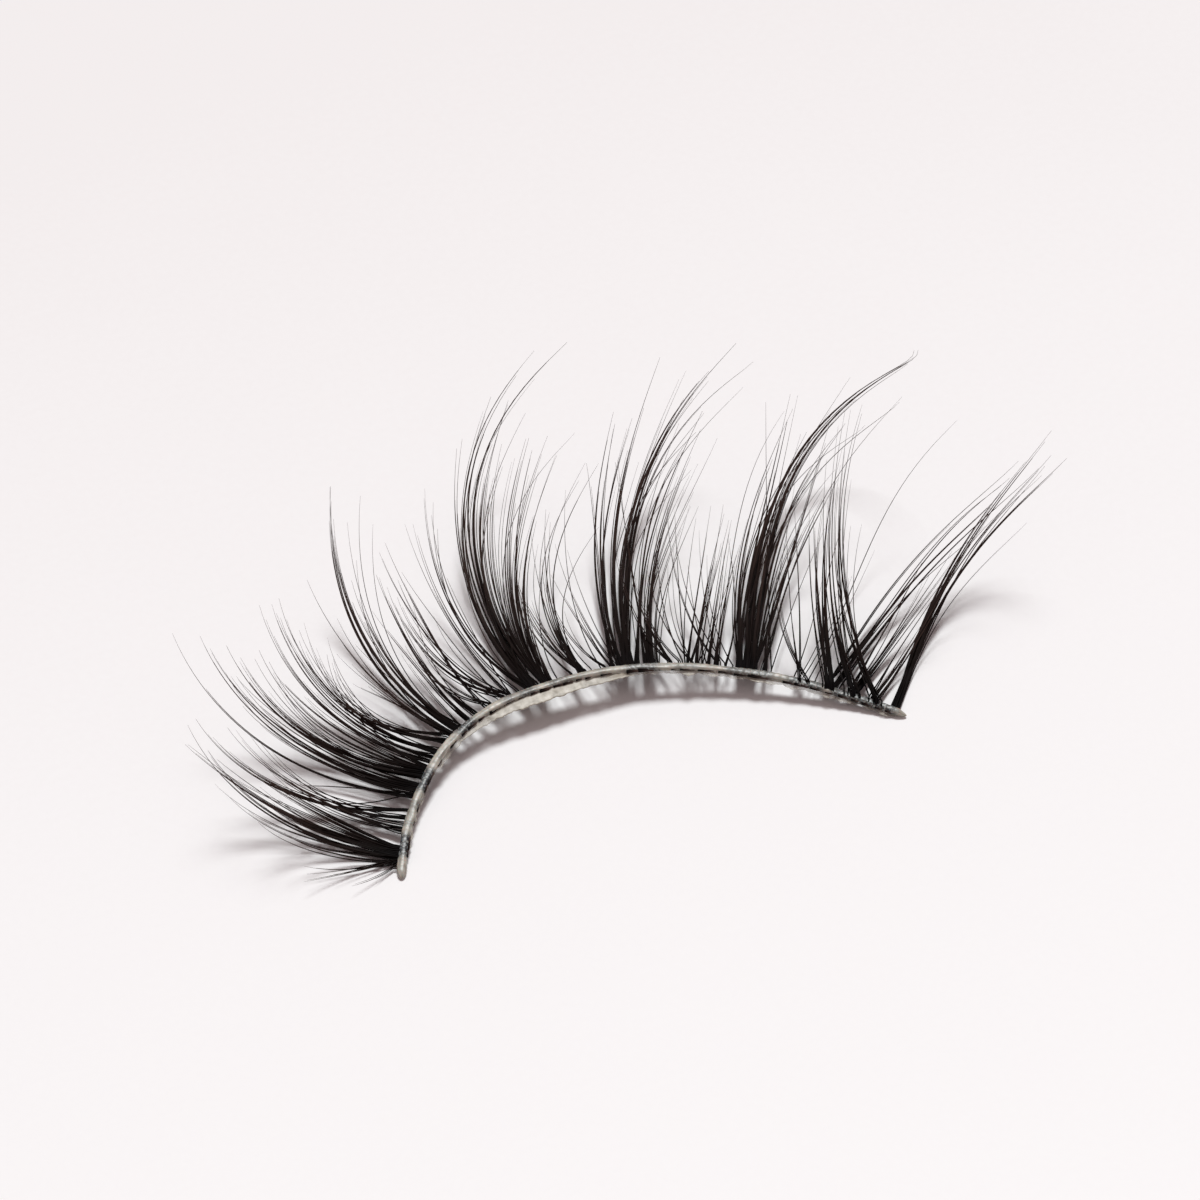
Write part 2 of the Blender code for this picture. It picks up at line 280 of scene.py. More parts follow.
# Dried glue: milky where it is thick or creamy, clear toward its rim
def makeGlueClear():
    material, tree, shader, place = newMaterial("driedGlue", (0.44, 0.40, 0.33), 0.42)
    cloud = noiseTexture(tree, place, 2600.0, 4.0)
    colour = colourRamp(tree, cloud, [
        (0.30, (0.26, 0.23, 0.18)),
        (0.50, (0.44, 0.40, 0.33)),
        (0.75, (0.62, 0.59, 0.53)),
    ])
    uv = addNode(tree, "ShaderNodeUVMap", uv_map="alongBand").outputs["UV"]
    fromBand = addNode(tree, "ShaderNodeSeparateXYZ", {"Vector": uv}).outputs["Y"]
    milk = ranged(tree, fromBand, 0.10, 0.45, 1.0, 0.0)
    body = doMath(tree, "ADD", milk, attribute(tree, "creamy"))
    patchy = doMath(tree, "MULTIPLY_ADD", cloud, 0.7, body)
    thick = doMath(tree, "SUBTRACT", patchy, 0.30, use_clamp=True)
    ripple = bumpNormal(tree, noiseTexture(tree, place, 5200.0), 0.35, 0.02 * mm)
    plugInto(tree, shader, {"Base Color": colour, "Alpha": thick, "Normal": ripple, "IOR": 1.4})
    return material


# Clear bead of glue, for the small glints
def makeGlueBead():
    material, tree, shader, place = newMaterial("glueBead", (0.90, 0.88, 0.84), 0.08)
    cloud = noiseTexture(tree, place, 9000.0, 2.0)
    colour = colourRamp(tree, cloud, [(0.3, (0.70, 0.67, 0.60)), (0.7, (0.95, 0.94, 0.92))])
    plugInto(tree, shader, {"Base Color": colour, "Transmission Weight": 0.6, "IOR": 1.46})
    return material


# The table's paper-white surface: finely grained, with painted shade that makes it a little darker
# and pinker at the back
def makePaperWhite():
    material, tree, shader, place = newMaterial("paperWhite", (0.90, 0.885, 0.885), 0.75)
    back = addNode(tree, "ShaderNodeSeparateXYZ", {"Vector": place}).outputs["Y"]
    # Painted shade: the colour darkens and turns pinker toward the back, standing in for the light
    # falling off there
    depth = ranged(tree, back, 0.0, 1.0, -45.0 * mm, 60.0 * mm)
    driftAndPaintedShade = doMath(tree, "MULTIPLY_ADD", noiseTexture(tree, place, 60.0, 6.0), 0.12, depth)
    speck = doMath(tree, "MULTIPLY_ADD", noiseTexture(tree, place, 2600.0, 2.0), 0.22, driftAndPaintedShade)
    colour = colourRamp(tree, speck, [
        (0.10, (0.915, 0.912, 0.918)),
        (0.55, (0.885, 0.876, 0.882)),
        (1.00, (0.842, 0.822, 0.825)),
    ])
    plugInto(tree, shader, {"Base Color": colour, "Specular IOR Level": 0.15})
    return material


lashBlack = makeLashBlack()
bandCream = makeBandCream()
glueClear = makeGlueClear()
glueBead = makeGlueBead()
paperWhite = makePaperWhite()
print("materials made")


# A closed body through rings of points, with a UV map that runs along the band and one number
# for each ring that its material reads
def loftAlong(name, rings, distances, material, label, numbers):
    mesh = bpy.data.meshes.new(name)
    bm = bmesh.new()
    uvLayer = bm.loops.layers.uv.new("alongBand")
    rows = [[bm.verts.new(point) for point in ring] for ring in rings]
    count = len(rows[0])
    for i in range(len(rows) - 1):
        for k in range(count):
            after = (k + 1) % count
            face = bm.faces.new((rows[i][k], rows[i][after], rows[i + 1][after], rows[i + 1][k]))
            sides = (k / (count - 1), (k + 1) / (count - 1))
            ends = (distances[i] / mm, distances[i + 1] / mm)
            corners = [(ends[a], sides[b]) for a, b in ((0, 0), (0, 1), (1, 1), (1, 0))]
            for loop, corner in zip(face.loops, corners):
                loop[uvLayer].uv = corner
    bm.faces.new(list(reversed(rows[0])))
    bm.faces.new(rows[-1])
    bmesh.ops.recalc_face_normals(bm, faces=bm.faces)
    bm.to_mesh(mesh)
    bm.free()
    mesh.shade_smooth()
    mesh.materials.append(material)
    values = [number for number in numbers for k in range(count)]
    mesh.attributes.new(label, "FLOAT", "POINT").data.foreach_set("value", values)
    return addObject(name, mesh)


# Band: a flattened thread with faint knots where the fibres are tied

bandLook = {
    "slices": 620,
    "sides": 18,
    "squareness": 2.8,     # 2 is an oval, more is boxier
    "fullness": 1.18,      # glue makes it a little fuller than the bare thread
    "knotPitch": 0.34 * mm,
    "knotHeight": 0.006 * mm,
    "lumpHeight": 0.045 * mm,
    "lumpLength": 1.3 * mm,
    "startSwell": 0.05,    # how much wider the drop of glue at the inner end is
    "startLength": 0.9 * mm,
    "startTip": 0.25 * mm,   # the ends close over these lengths
    "endTip": 0.6 * mm,
    "shadeEdge": 0.4 * mm,
}
# Where the roots of the dense tufts darken the band, in mm from its inner end, and how much
Span = namedtuple("Span", "first last amount")
rootShades = [Span(*row) for row in (
    (1.15, 2.45, 1.0), (2.9, 3.2, 0.5), (3.8, 4.4, 0.5), (4.95, 6.35, 1.0), (8.75, 9.9, 0.95),
    (11.6, 12.2, 0.5), (12.4, 13.3, 0.7), (13.9, 15.2, 0.5), (17.7, 19.2, 0.8), (19.9, 21.2, 0.3),
    (22.3, 24.6, 0.7), (25.2, 27.0, 0.85), (27.3, 30.5, 0.9),
)]


def spanAmount(spans, along, edge):
    amount = 0.0
    for span in spans:
        inside = min(along - span.first * mm, span.last * mm - along) / edge + 0.5
        amount = max(amount, span.amount * min(max(inside, 0.0), 1.0))
    return amount


def makeBandThread():
    rings, distances, shades = [], [], []
    power = 2.0 / bandLook["squareness"]
    for i in range(bandLook["slices"] + 1):
        along = bandShape["arc"] * i / bandLook["slices"]
        station = stationAt(along)
        size = bandSize(along) * bandLook["fullness"]
        size *= 1.0 + bandLook["startSwell"] * max(0.0, 1.0 - along / bandLook["startLength"])
        tip = min(along / bandLook["startTip"], (bandShape["arc"] - along) / bandLook["endTip"])
        close = math.sqrt(max(0.02, 1.0 - (1.0 - min(tip, 1.0)) ** 2))
        knot = bandLook["knotHeight"] * math.cos(2 * math.pi * along / bandLook["knotPitch"])
        ring = []
        for k in range(bandLook["sides"]):
            angle = 2 * math.pi * k / bandLook["sides"]
            c, s = math.cos(angle), math.sin(angle)
            outward = math.copysign(abs(c) ** power, c) * bandShape["width"] / 2
            up = math.copysign(abs(s) ** power, s) * bandShape["height"] / 2
            up = up / bandLook["fullness"] if s < 0 else up
            lump = bumps(along / bandLook["lumpLength"], c * 0.8, s * 0.8) * bandLook["lumpHeight"]
            swell = size * close * (1.0 + (knot + lump) / (bandShape["width"] / 2))
            ring.append(besideBand(station, outward * swell, up * swell))
        rings.append(ring)
        distances.append(along)
        shades.append(spanAmount(rootShades, along, bandLook["shadeEdge"]))
    return loftAlong("band_thread", rings, distances, bandCream, "rootShade", shades)


# Glue: a rim along the band's inner lower edge, wide and ragged left of the middle

glueLook = {
    "slices": 900,
    "endGap": 0.5 * mm,
    "root": 0.09 * mm,
    "rim": 0.018 * mm,
    "lift": 0.02 * mm,
    "ragged": 0.16 * mm,
    "raggedLength": 0.55 * mm,
    "fineRagged": 0.06 * mm,
    "fineLength": 0.16 * mm,
    "narrowest": 0.05 * mm,
    "overlap": 0.03 * mm,    # how far it reaches into the band
    "across": 8,
    "thinning": 1.6,         # 1 is an even slope from the band to the rim
    "uneven": 0.35,
    "unevenLength": 0.5 * mm,
    "creamEdge": 0.5 * mm,
}
# The rim's width in mm by distance along the band in mm
glueWidths = [Row(*row) for row in (
    (0.0, 0.08), (3.6, 0.10), (6.5, 0.12), (9.0, 0.28), (11.0, 0.50), (13.2, 0.66), (15.5, 0.52),
    (17.4, 0.34), (18.2, 0.20), (22.0, 0.24), (25.0, 0.20), (28.5, 0.18), (31.0, 0.10),
)]
creamSpans = [Span(*row) for row in (
    (8.6, 10.3, 0.25), (10.6, 12.0, 0.45), (12.0, 15.6, 0.65), (15.6, 16.6, 0.45),
    (16.8, 17.9, 0.7), (20.1, 21.0, 0.25), (23.4, 24.2, 0.4),
)]


def makeGlueSkirt():
    rings, distances, creams = [], [], []
    low = glueLook["lift"] - bandShape["height"] / 2
    inner = glueLook["overlap"] - bandShape["width"] / 2
    across = glueLook["across"]
    length = bandShape["arc"] - 2 * glueLook["endGap"]
    for i in range(glueLook["slices"] + 1):
        along = glueLook["endGap"] + length * i / glueLook["slices"]
        station = stationAt(along)
        ragged = bumps(along / glueLook["raggedLength"], 3.1) * glueLook["ragged"]
        fine = bumps(along / glueLook["fineLength"], 7.7) * glueLook["fineRagged"]
        width = max(glueLook["narrowest"], between(glueWidths, along / mm) * mm + ragged + fine)
        ring = []
        for k in range(across + 1):   # over the top, from the band to the rim
            t = k / across
            thick = glueLook["root"] * (1.0 - t) ** glueLook["thinning"] + glueLook["rim"]
            uneven = bumps(along / glueLook["unevenLength"], t * 1.5, 5.0)
            thick *= 1.0 + glueLook["uneven"] * uneven
            ring.append(besideBand(station, inner - width * t, low + thick))
        for k in range(across, -1, -1):   # back underneath
            ring.append(besideBand(station, inner - width * k / across, low))
        rings.append(ring)
        distances.append(along)
        creams.append(spanAmount(creamSpans, along, glueLook["creamEdge"]))
    return loftAlong("glue_skirt", rings, distances, glueClear, "creamy", creams)


# Geometry Nodes

def newTree(name, sockets):
    tree = bpy.data.node_groups.new(name, "GeometryNodeTree")
    for label, kind in [("Geometry", "Geometry"), *sockets]:
        tree.interface.new_socket(label, in_out="INPUT", socket_type="NodeSocket" + kind)
    tree.interface.new_socket("Geometry", in_out="OUTPUT", socket_type="NodeSocketGeometry")
    return tree, addNode(tree, "NodeGroupInput").outputs


# Every tree ends with these steps
def finishTree(tree, geometry, material):
    smooth = addNode(tree, "GeometryNodeSetShadeSmooth", {"Geometry": geometry})
    real = addNode(tree, "GeometryNodeRealizeInstances", {"Geometry": smooth})
    finish = addNode(tree, "GeometryNodeSetMaterial", {
        "Geometry": real, "Material": material,
    })
    addNode(tree, "NodeGroupOutput", {"Geometry": finish})
    return tree


def mixed(tree, a, b, factor):
    return doMath(tree, "ADD", a, doMath(tree, "MULTIPLY", doMath(tree, "SUBTRACT", b, a), factor))


def scaled(tree, vector, amount):
    plugs = {"Vector": vector, "Scale": amount}
    return addNode(tree, "ShaderNodeVectorMath", plugs, operation="SCALE").outputs["Vector"]


def added(tree, a, b):
    return addNode(tree, "ShaderNodeVectorMath", {0: a, 1: b}, operation="ADD").outputs["Vector"]


def named(tree, label, kind="FLOAT"):
    node = addNode(tree, "GeometryNodeInputNamedAttribute", {"Name": label}, data_type=kind)
    return node.outputs["Attribute"]


def storeNumber(tree, geometry, label, value):
    plugs = {"Geometry": geometry, "Name": label, "Value": value}
    return addNode(tree, "GeometryNodeStoreNamedAttribute", plugs,
                   data_type="FLOAT", domain="POINT").outputs["Geometry"]


# Each guide line becomes a bundle of fibres: side by side at the root, then gathered in
# strands of a few, each fibre cut to its own length and tapered to a hair.
def makeFibreTree():
    tree, size = newTree("fibresOnGuides", [
        ("Fibre Radius", "Float"), ("Tip Share", "Float"), ("Taper Power", "Float"),
        ("Bow", "Float"), ("Strand", "Int"), ("Strand Width", "Float"), ("Rings", "Int"),
        ("Sides", "Int"), ("Seed", "Int"), ("Material", "Material"),
    ])

    def plus(a, b):
        return doMath(tree, "ADD", a, b)

    def minus(a, b):
        return doMath(tree, "SUBTRACT", a, b)

    def times(a, b):
        return doMath(tree, "MULTIPLY", a, b)

    # A random number that stays the same along a whole fibre, or for all with the same key
    index = addNode(tree, "GeometryNodeInputIndex").outputs["Index"]

    def chance(extra, low, high, key=index):
        plugs = {2: low, 3: high, "ID": key, "Seed": plus(size["Seed"], extra)}
        pick = addNode(tree, "FunctionNodeRandomValue", plugs, data_type="FLOAT")
        hold = addNode(tree, "GeometryNodeFieldOnDomain", {"Value": pick.outputs[1]},
                       domain="CURVE", data_type="FLOAT")
        return hold.outputs["Value"]

    toCurve = addNode(tree, "GeometryNodeMeshToCurve", {"Mesh": size["Geometry"]})
    copies = addNode(tree, "GeometryNodeDuplicateElements", {
        "Geometry": toCurve, "Amount": named(tree, "fibres"),
    }, domain="SPLINE")
    copy = copies.outputs["Duplicate Index"]

    # order runs from -1 to 1 across the bundle, and gathered from 0 to 1 up to where it closes
    along = addNode(tree, "GeometryNodeSplineParameter").outputs["Factor"]
    gathered = addNode(tree, "ShaderNodeMapRange", {
        "Value": along, "From Max": named(tree, "gather"),
    }, interpolation_type="SMOOTHSTEP").outputs["Result"]
    order = doMath(tree, "DIVIDE", plus(copy, 0.5), named(tree, "fibres"))
    order = minus(times(order, 2.0), 1.0)
    splay = named(tree, "splay")

    # One key for each strand, the same for all its fibres
    strand = doMath(tree, "FLOOR", doMath(tree, "DIVIDE", copy, size["Strand"]))
    strand = plus(minus(index, copy), strand)

    # A bundle that doesn't splay, such as a single hair, isn't widened either
    widens = doMath(tree, "MINIMUM", times(splay, 1000.0 / mm), 1.0)
    rootSide = times(named(tree, "spread"), plus(order, chance(1, -0.15, 0.15)))
    tipSide = times(splay, plus(times(order, 0.25), chance(2, -0.9, 0.9, strand)))
    tipSide = plus(tipSide, times(widens, times(size["Strand Width"], chance(9, -0.5, 0.5))))
    swing = times(times(along, minus(1.0, along)),
                  times(size["Bow"], chance(3, -4.0, 4.0, strand)))
    rise = mixed(tree, times(named(tree, "depth"), chance(4, -1.0, 1.0)),
                 times(splay, chance(5, -0.5, 0.5, strand)), gathered)

    across = named(tree, "across", "FLOAT_VECTOR")
    rootMove = scaled(tree, named(tree, "alongBand", "FLOAT_VECTOR"),
                      times(rootSide, minus(1.0, gathered)))
    tipMove = scaled(tree, across, times(tipSide, gathered))
    bowMove = scaled(tree, across, swing)
    riseMove = addNode(tree, "ShaderNodeCombineXYZ", {"Z": rise}).outputs["Vector"]
    spreadOut = addNode(tree, "GeometryNodeSetPosition", {
        "Geometry": copies,
        "Offset": added(tree, added(tree, rootMove, tipMove), added(tree, bowMove, riseMove)),
    })

    # The first fibre keeps the bundle's full length
    short = times(chance(6, 0.1, 1.0), doMath(tree, "MINIMUM", copy, 1.0))
    trim = addNode(tree, "GeometryNodeTrimCurve", {
        "Curve": spreadOut,
        "End": minus(1.0, times(named(tree, "shorten"), short)),
    }, mode="FACTOR")
    even = addNode(tree, "GeometryNodeResampleCurve", {
        "Curve": trim, "Count": size["Rings"],
    }, mode="COUNT")

    finalAlong = addNode(tree, "GeometryNodeSplineParameter").outputs["Factor"]
    stored = storeNumber(tree, even, "alongFibre", finalAlong)
    stored = storeNumber(tree, stored, "fibreTone", chance(7, 0.0, 1.0))
    fall = minus(1.0, doMath(tree, "POWER", finalAlong, size["Taper Power"]))
    radius = times(mixed(tree, size["Tip Share"], 1.0, fall), size["Fibre Radius"])
    radius = times(radius, times(named(tree, "thin"), chance(8, 0.78, 1.12)))

    # No fibre goes into the surface that the strip lies on
    place = addNode(tree, "GeometryNodeInputPosition").outputs["Position"]
    parts = addNode(tree, "ShaderNodeSeparateXYZ", {"Vector": place}).outputs
    raised = addNode(tree, "ShaderNodeCombineXYZ", {
        "X": parts["X"], "Y": parts["Y"],
        "Z": doMath(tree, "MAXIMUM", parts["Z"], times(size["Fibre Radius"], 1.2)),
    })
    keepUp = addNode(tree, "GeometryNodeSetPosition", {
        "Geometry": stored, "Position": raised,
    })

    profile = addNode(tree, "GeometryNodeCurvePrimitiveCircle", {
        "Resolution": size["Sides"], "Radius": 1.0,
    }, mode="RADIUS")
    tubes = addNode(tree, "GeometryNodeCurveToMesh", {
        "Curve": keepUp, "Profile Curve": profile,
        "Scale": radius, "Fill Caps": True,
    })
    return finishTree(tree, tubes, size["Material"])


# Runs a tree on an object and returns the result as a plain mesh object of that name
def grown(name, source, tree, values):
    modifier = source.modifiers.new("grow", "NODES")
    modifier.node_group = tree
    for item in tree.interface.items_tree:
        if item.item_type == "SOCKET" and item.in_out == "INPUT" and item.name in values:
            modifier[item.identifier] = values[item.name]
    evaluated = source.evaluated_get(bpy.context.evaluated_depsgraph_get())
    mesh = bpy.data.meshes.new_from_object(evaluated)
    mesh.name = name
    piece = addObject(name, mesh)
    source.modifiers.remove(modifier)
    bpy.data.objects.remove(source, do_unlink=True)
    return piece


# Lashes. Each tuft has locks, which are bundles, and single hairs.

lashShape = {
    "longest": 22.0 * mm,
    "pitch": 0.31 * mm,
    "droop": 18.0,
    "tipRise": 60.0,
    "curlPower": 1.2,
    "steps": 28,
    "fromEnd": 0.06 * mm,   # no root is nearer to an end of the band
    "depth": 0.06 * mm,     # how far fibres lie above and below each other at the root
}
fibreLook = {
    "Fibre Radius": 0.045 * mm,
    "Tip Share": 0.12,
    "Taper Power": 1.3,
    "Bow": 0.10 * mm,
    "Strand": 3,               # so many fibres stay together
    "Strand Width": 0.07 * mm,
    "Rings": 28,
    "Sides": 5,
}
# A root's points in mm, outward of and above the band's middle line. The lash leans from the
# last one on.
seats = {
    "through": [(-0.12, 0.0), (0.06, 0.01), (0.16, 0.0), (0.38, 0.0)],
    "top": [(-0.10, 0.12), (0.0, 0.20), (0.0, 0.30)],
}

# place is in steps of the pitch from the tuft's middle, lean and sweep are degrees, bend is
# how late the sweep comes, length is a share of the longest lash, gather is where along its
# length the bundle has closed up. middle is in mm from the band's inner end.
Lock = namedtuple("Lock", "place lean sweep bend length fibres spread gather splay shorten thin")
Hair = namedtuple("Hair", "place lean sweep bend length thin")
usualTuft = {"seat": "through", "lift": 0.0, "curl": 1.0}

tufts = {}
tufts["inner_wisp"] = {
    "middle": 0.45, "seed": 11, "fill": 2, "curl": 0.3,
    "locks": [
        (1.11, -18.2, 19.6, 2, 0.19, 2, 0.2, 0.5, 0.16, 0.2, 0.8),
        (1.9, -25.3, -8.7, 2, 0.205, 2, 0.2, 0.5, 0.16, 0.2, 0.8),
        (0.75, -42.1, 12, 2, 0.111, 2, 0.2, 0.5, 0.2, 0.3, 0.7),
    ],
    "hairs": [(0.4, -47.1, 1.3, 2, 0.054, 0.7)],
}
tufts["inner_tuft_1"] = {
    "middle": 1.55, "seed": 12, "fill": 11,
    "locks": [
        (-1.83, -0.9, -35.1, 2, 0.265, 2, 0.3, 0.5, 0.2, 0.3, 0.75),
        (-1.12, 10, 26, 2, 0.534, 6, 0.35, 0.4, 0.26, 0.35, 1),
        (-0.71, 13.8, -43, 6, 0.525, 6, 0.35, 0.4, 0.29, 0.35, 1),
        (0.3, 13.2, -53.4, 2, 0.329, 5, 0.35, 0.4, 0.26, 0.35, 1),
        (0.61, 22, -41.9, 2, 0.416, 8, 0.4, 0.35, 0.26, 0.35, 1.05),
        (0.02, 19.8, -57.8, 2, 0.426, 3, 0.3, 0.4, 0.26, 0.35, 0.9),
        (-1, 3.7, -10.1, 2, 0.399, 3, 0.3, 0.5, 0.33, 0.4, 0.8),
        (-1.59, 7.8, -44.4, 2, 0.356, 2, 0.3, 0.5, 0.26, 0.4, 0.75),
    ],
    "hairs": [(-2.02, -0.5, -22.5, 2, 0.326, 0.8)],
}
tufts["inner_tuft_2"] = {
    "middle": 3.3, "seed": 13, "fill": 8,
    "locks": [
        (1.88, -7.7, 18.2, 2, 0.505, 4, 0.3, 0.4, 0.2, 0.3, 0.95),
        (0.38, -2, -4, 2, 0.456, 4, 0.3, 0.4, 0.2, 0.35, 0.95),
        (-1.51, 8.7, -6.3, 2, 0.396, 4, 0.35, 0.4, 0.2, 0.35, 0.95),
        (-2.29, 12.1, -38, 2, 0.28, 3, 0.3, 0.4, 0.2, 0.3, 0.9),
    ],
    "hairs": [
        (5.02, -35.3, 21.8, 2, 0.325, 0.8), (-0.28, 2.3, -15.5, 2, 0.312, 0.7),
    ],
}
tufts["inner_tuft_3"] = {
    "middle": 5.1, "seed": 14, "fill": 14,
    "locks": [
        (-1.43, 2.4, 26.8, 2, 0.64, 3, 0.3, 0.4, 0.16, 0.45, 0.95),
        (-0.99, 4.7, -37.4, 2, 0.371, 2, 0.25, 0.5, 0.2, 0.3, 0.8),
        (-0.02, 4.6, 19.3, 2, 0.586, 6, 0.35, 0.35, 0.19, 0.2, 1),
        (0.75, 6.7, -12.8, 2, 0.49, 7, 0.4, 0.35, 0.22, 0.35, 1.05),
        (2.38, 0.1, 22.4, 2, 0.52, 7, 0.4, 0.35, 0.26, 0.35, 1.05),
        (3.05, -3.5, 18.6, 2, 0.474, 4, 0.35, 0.35, 0.21, 0.35, 0.95),
        (3.69, 0, 24.1, 2, 0.453, 7, 0.4, 0.35, 0.22, 0.35, 1.05),
        (3.91, 6.3, -17.3, 2, 0.394, 4, 0.35, 0.4, 0.23, 0.35, 0.95),
        (4.37, 9.5, -23.2, 2, 0.329, 3, 0.3, 0.4, 0.26, 0.35, 0.9),
    ],
    "hairs": [
        (-0.79, -8.1, -107.8, 2, 0.315, 0.8), (4.53, -7.9, -5.5, 2, 0.386, 0.75),
    ],
}
tufts["inner_tuft_4"] = {
    "middle": 7.29, "seed": 15, "fill": 12,
    "locks": [
        (-1.64, 5.8, 26.7, 2, 0.523, 4, 0.3, 0.4, 0.2, 0.3, 0.95),
        (-0.73, 5.4, 29.7, 2, 0.506, 5, 0.35, 0.4, 0.2, 0.3, 0.95),
        (0.36, 2.2, 33, 2, 0.505, 5, 0.35, 0.4, 0.2, 0.3, 0.95),
        (0.67, 1.3, 24.8, 2, 0.477, 3, 0.3, 0.4, 0.26, 0.4, 0.9),
        (2.83, -14.3, 35, 2, 0.404, 4, 0.3, 0.4, 0.2, 0.35, 0.95),
        (4.33, -22.2, -13.4, 2, 0.309, 3, 0.3, 0.4, 0.2, 0.35, 0.9),
    ],
    "hairs": [
        (4.57, -26.5, 55.6, 1.3, 0.429, 0.75), (2.37, -7.9, 8.6, 2, 0.321, 0.75),
        (-0.18, -5.2, 11.2, 2, 0.273, 0.75),
    ],
}
tufts["inner_tuft_5"] = {
    "middle": 8.93, "seed": 16, "fill": 11,
    "locks": [
        (0.14, 13.1, 39.6, 2, 0.671, 9, 0.5, 0.35, 0.19, 0.3, 1.05),
        (-0.79, 14.6, 45.4, 2, 0.684, 5, 0.35, 0.4, 0.13, 0.25, 1),
        (0.83, 10.5, 7.7, 2, 0.432, 5, 0.4, 0.4, 0.18, 0.35, 1),
        (0.54, 8.7, 3.8, 2, 0.383, 5, 0.4, 0.4, 0.21, 0.4, 1),
        (-0.65, 6.2, -26.1, 2, 0.321, 4, 0.4, 0.4, 0.16, 0.3, 0.95),
        (-1.1, 8.7, -50.1, 2, 0.277, 3, 0.35, 0.4, 0.2, 0.3, 0.9),
        (-0.97, 3.5, -75.6, 2, 0.253, 3, 0.35, 0.4, 0.33, 0.35, 0.7),
    ],
    "hairs": [(-0.03, 12, -45.6, 2, 0.303, 0.8)],
}
tufts["short_tuft_1"] = {
    "middle": 10.62, "seed": 17, "fill": 11,
    "locks": [
        (-2.69, 14.8, -4.6, 2, 0.411, 4, 0.35, 0.4, 0.16, 0.35, 0.95),
        (-2.88, 16.1, -40.5, 2, 0.344, 3, 0.3, 0.4, 0.26, 0.35, 0.9),
        (-4.27, 15.5, -27.6, 2, 0.215, 2, 0.2, 0.4, 0.2, 0.3, 0.85),
        (-1.32, 5.6, 8.8, 2, 0.398, 3, 0.3, 0.4, 0.16, 0.35, 0.9),
        (1.28, -19.2, -1.9, 2, 0.232, 3, 0.3, 0.4, 0.2, 0.35, 0.9),
        (3.84, -20.8, 20, 2, 0.374, 3, 0.3, 0.4, 0.26, 0.35, 0.85),
        (4.71, -27.7, 26.5, 2, 0.342, 3, 0.3, 0.4, 0.26, 0.35, 0.85),
        (0.6, 14.3, -20.7, 2, 0.475, 3, 0.3, 0.4, 0.16, 0.35, 0.85),
        (3.77, -7.2, -4.3, 2, 0.456, 2, 0.3, 0.4, 0.16, 0.3, 0.8),
        (4.81, -1.2, -2.3, 2, 0.49, 3, 0.3, 0.4, 0.16, 0.35, 0.85),
        (6.09, -7.7, 11, 2, 0.483, 2, 0.3, 0.4, 0.16, 0.3, 0.8),
        (7.44, -12.3, 34.1, 2, 0.544, 2, 0.2, 0.4, 0.13, 0.3, 0.8),
        (8.19, -12.9, 34.4, 2, 0.567, 2, 0.2, 0.4, 0.13, 0.3, 0.8),
    ],
    "hairs": [
        (5.01, 6.3, -18, 2, 0.326, 0.75), (3.68, 4.1, -40.5, 2, 0.39, 0.75),
        (1.82, 0.1, -6.8, 2, 0.37, 0.75), (3.47, -26.6, 14.8, 2, 0.274, 0.75),
    ],
}
tufts["tall_tuft_1"] = {
    "middle": 12.72, "seed": 18, "fill": 18,
    "locks": [
        (1.3, -3.5, 39.8, 2, 0.65, 3, 0.25, 0.4, 0.13, 0.3, 0.9),
        (1.76, -3.6, 43.5, 2, 0.67, 3, 0.25, 0.4, 0.13, 0.3, 0.9),
        (2.05, -3.4, 69.9, 2, 0.79, 6, 0.35, 0.35, 0.19, 0.35, 1),
        (1.23, 5, 111.2, 3.2, 0.955, 7, 0.4, 0.35, 0.16, 0.3, 1.05),
        (1.84, 5.8, 132, 3.1, 1.016, 7, 0.4, 0.35, 0.16, 0.3, 1.05),
        (3.44, -1.1, 65.5, 2, 0.76, 6, 0.35, 0.35, 0.19, 0.35, 1),
        (3.86, 0.6, 59.4, 2, 0.762, 5, 0.35, 0.35, 0.16, 0.35, 0.95),
        (3.86, 2.2, 44.2, 2, 0.636, 4, 0.3, 0.35, 0.16, 0.35, 0.9),
        (3.59, 6.7, 48.6, 2, 0.648, 4, 0.3, 0.35, 0.18, 0.3, 0.95),
        (3.92, 7.6, 47.2, 2, 0.646, 6, 0.35, 0.35, 0.19, 0.35, 1),
        (4.07, 9.8, 57.1, 2, 0.608, 3, 0.3, 0.35, 0.16, 0.5, 0.9),
        (4.68, 7.1, 41.5, 2, 0.418, 3, 0.3, 0.35, 0.18, 0.5, 0.9),
    ],
    "hairs": [
        (0.91, 12.4, 6.6, 2, 0.453, 0.75), (0.76, -3.9, 25.7, 2, 0.438, 0.75),
        (4.61, 8.3, -5.5, 2, 0.267, 0.75),
    ],
}
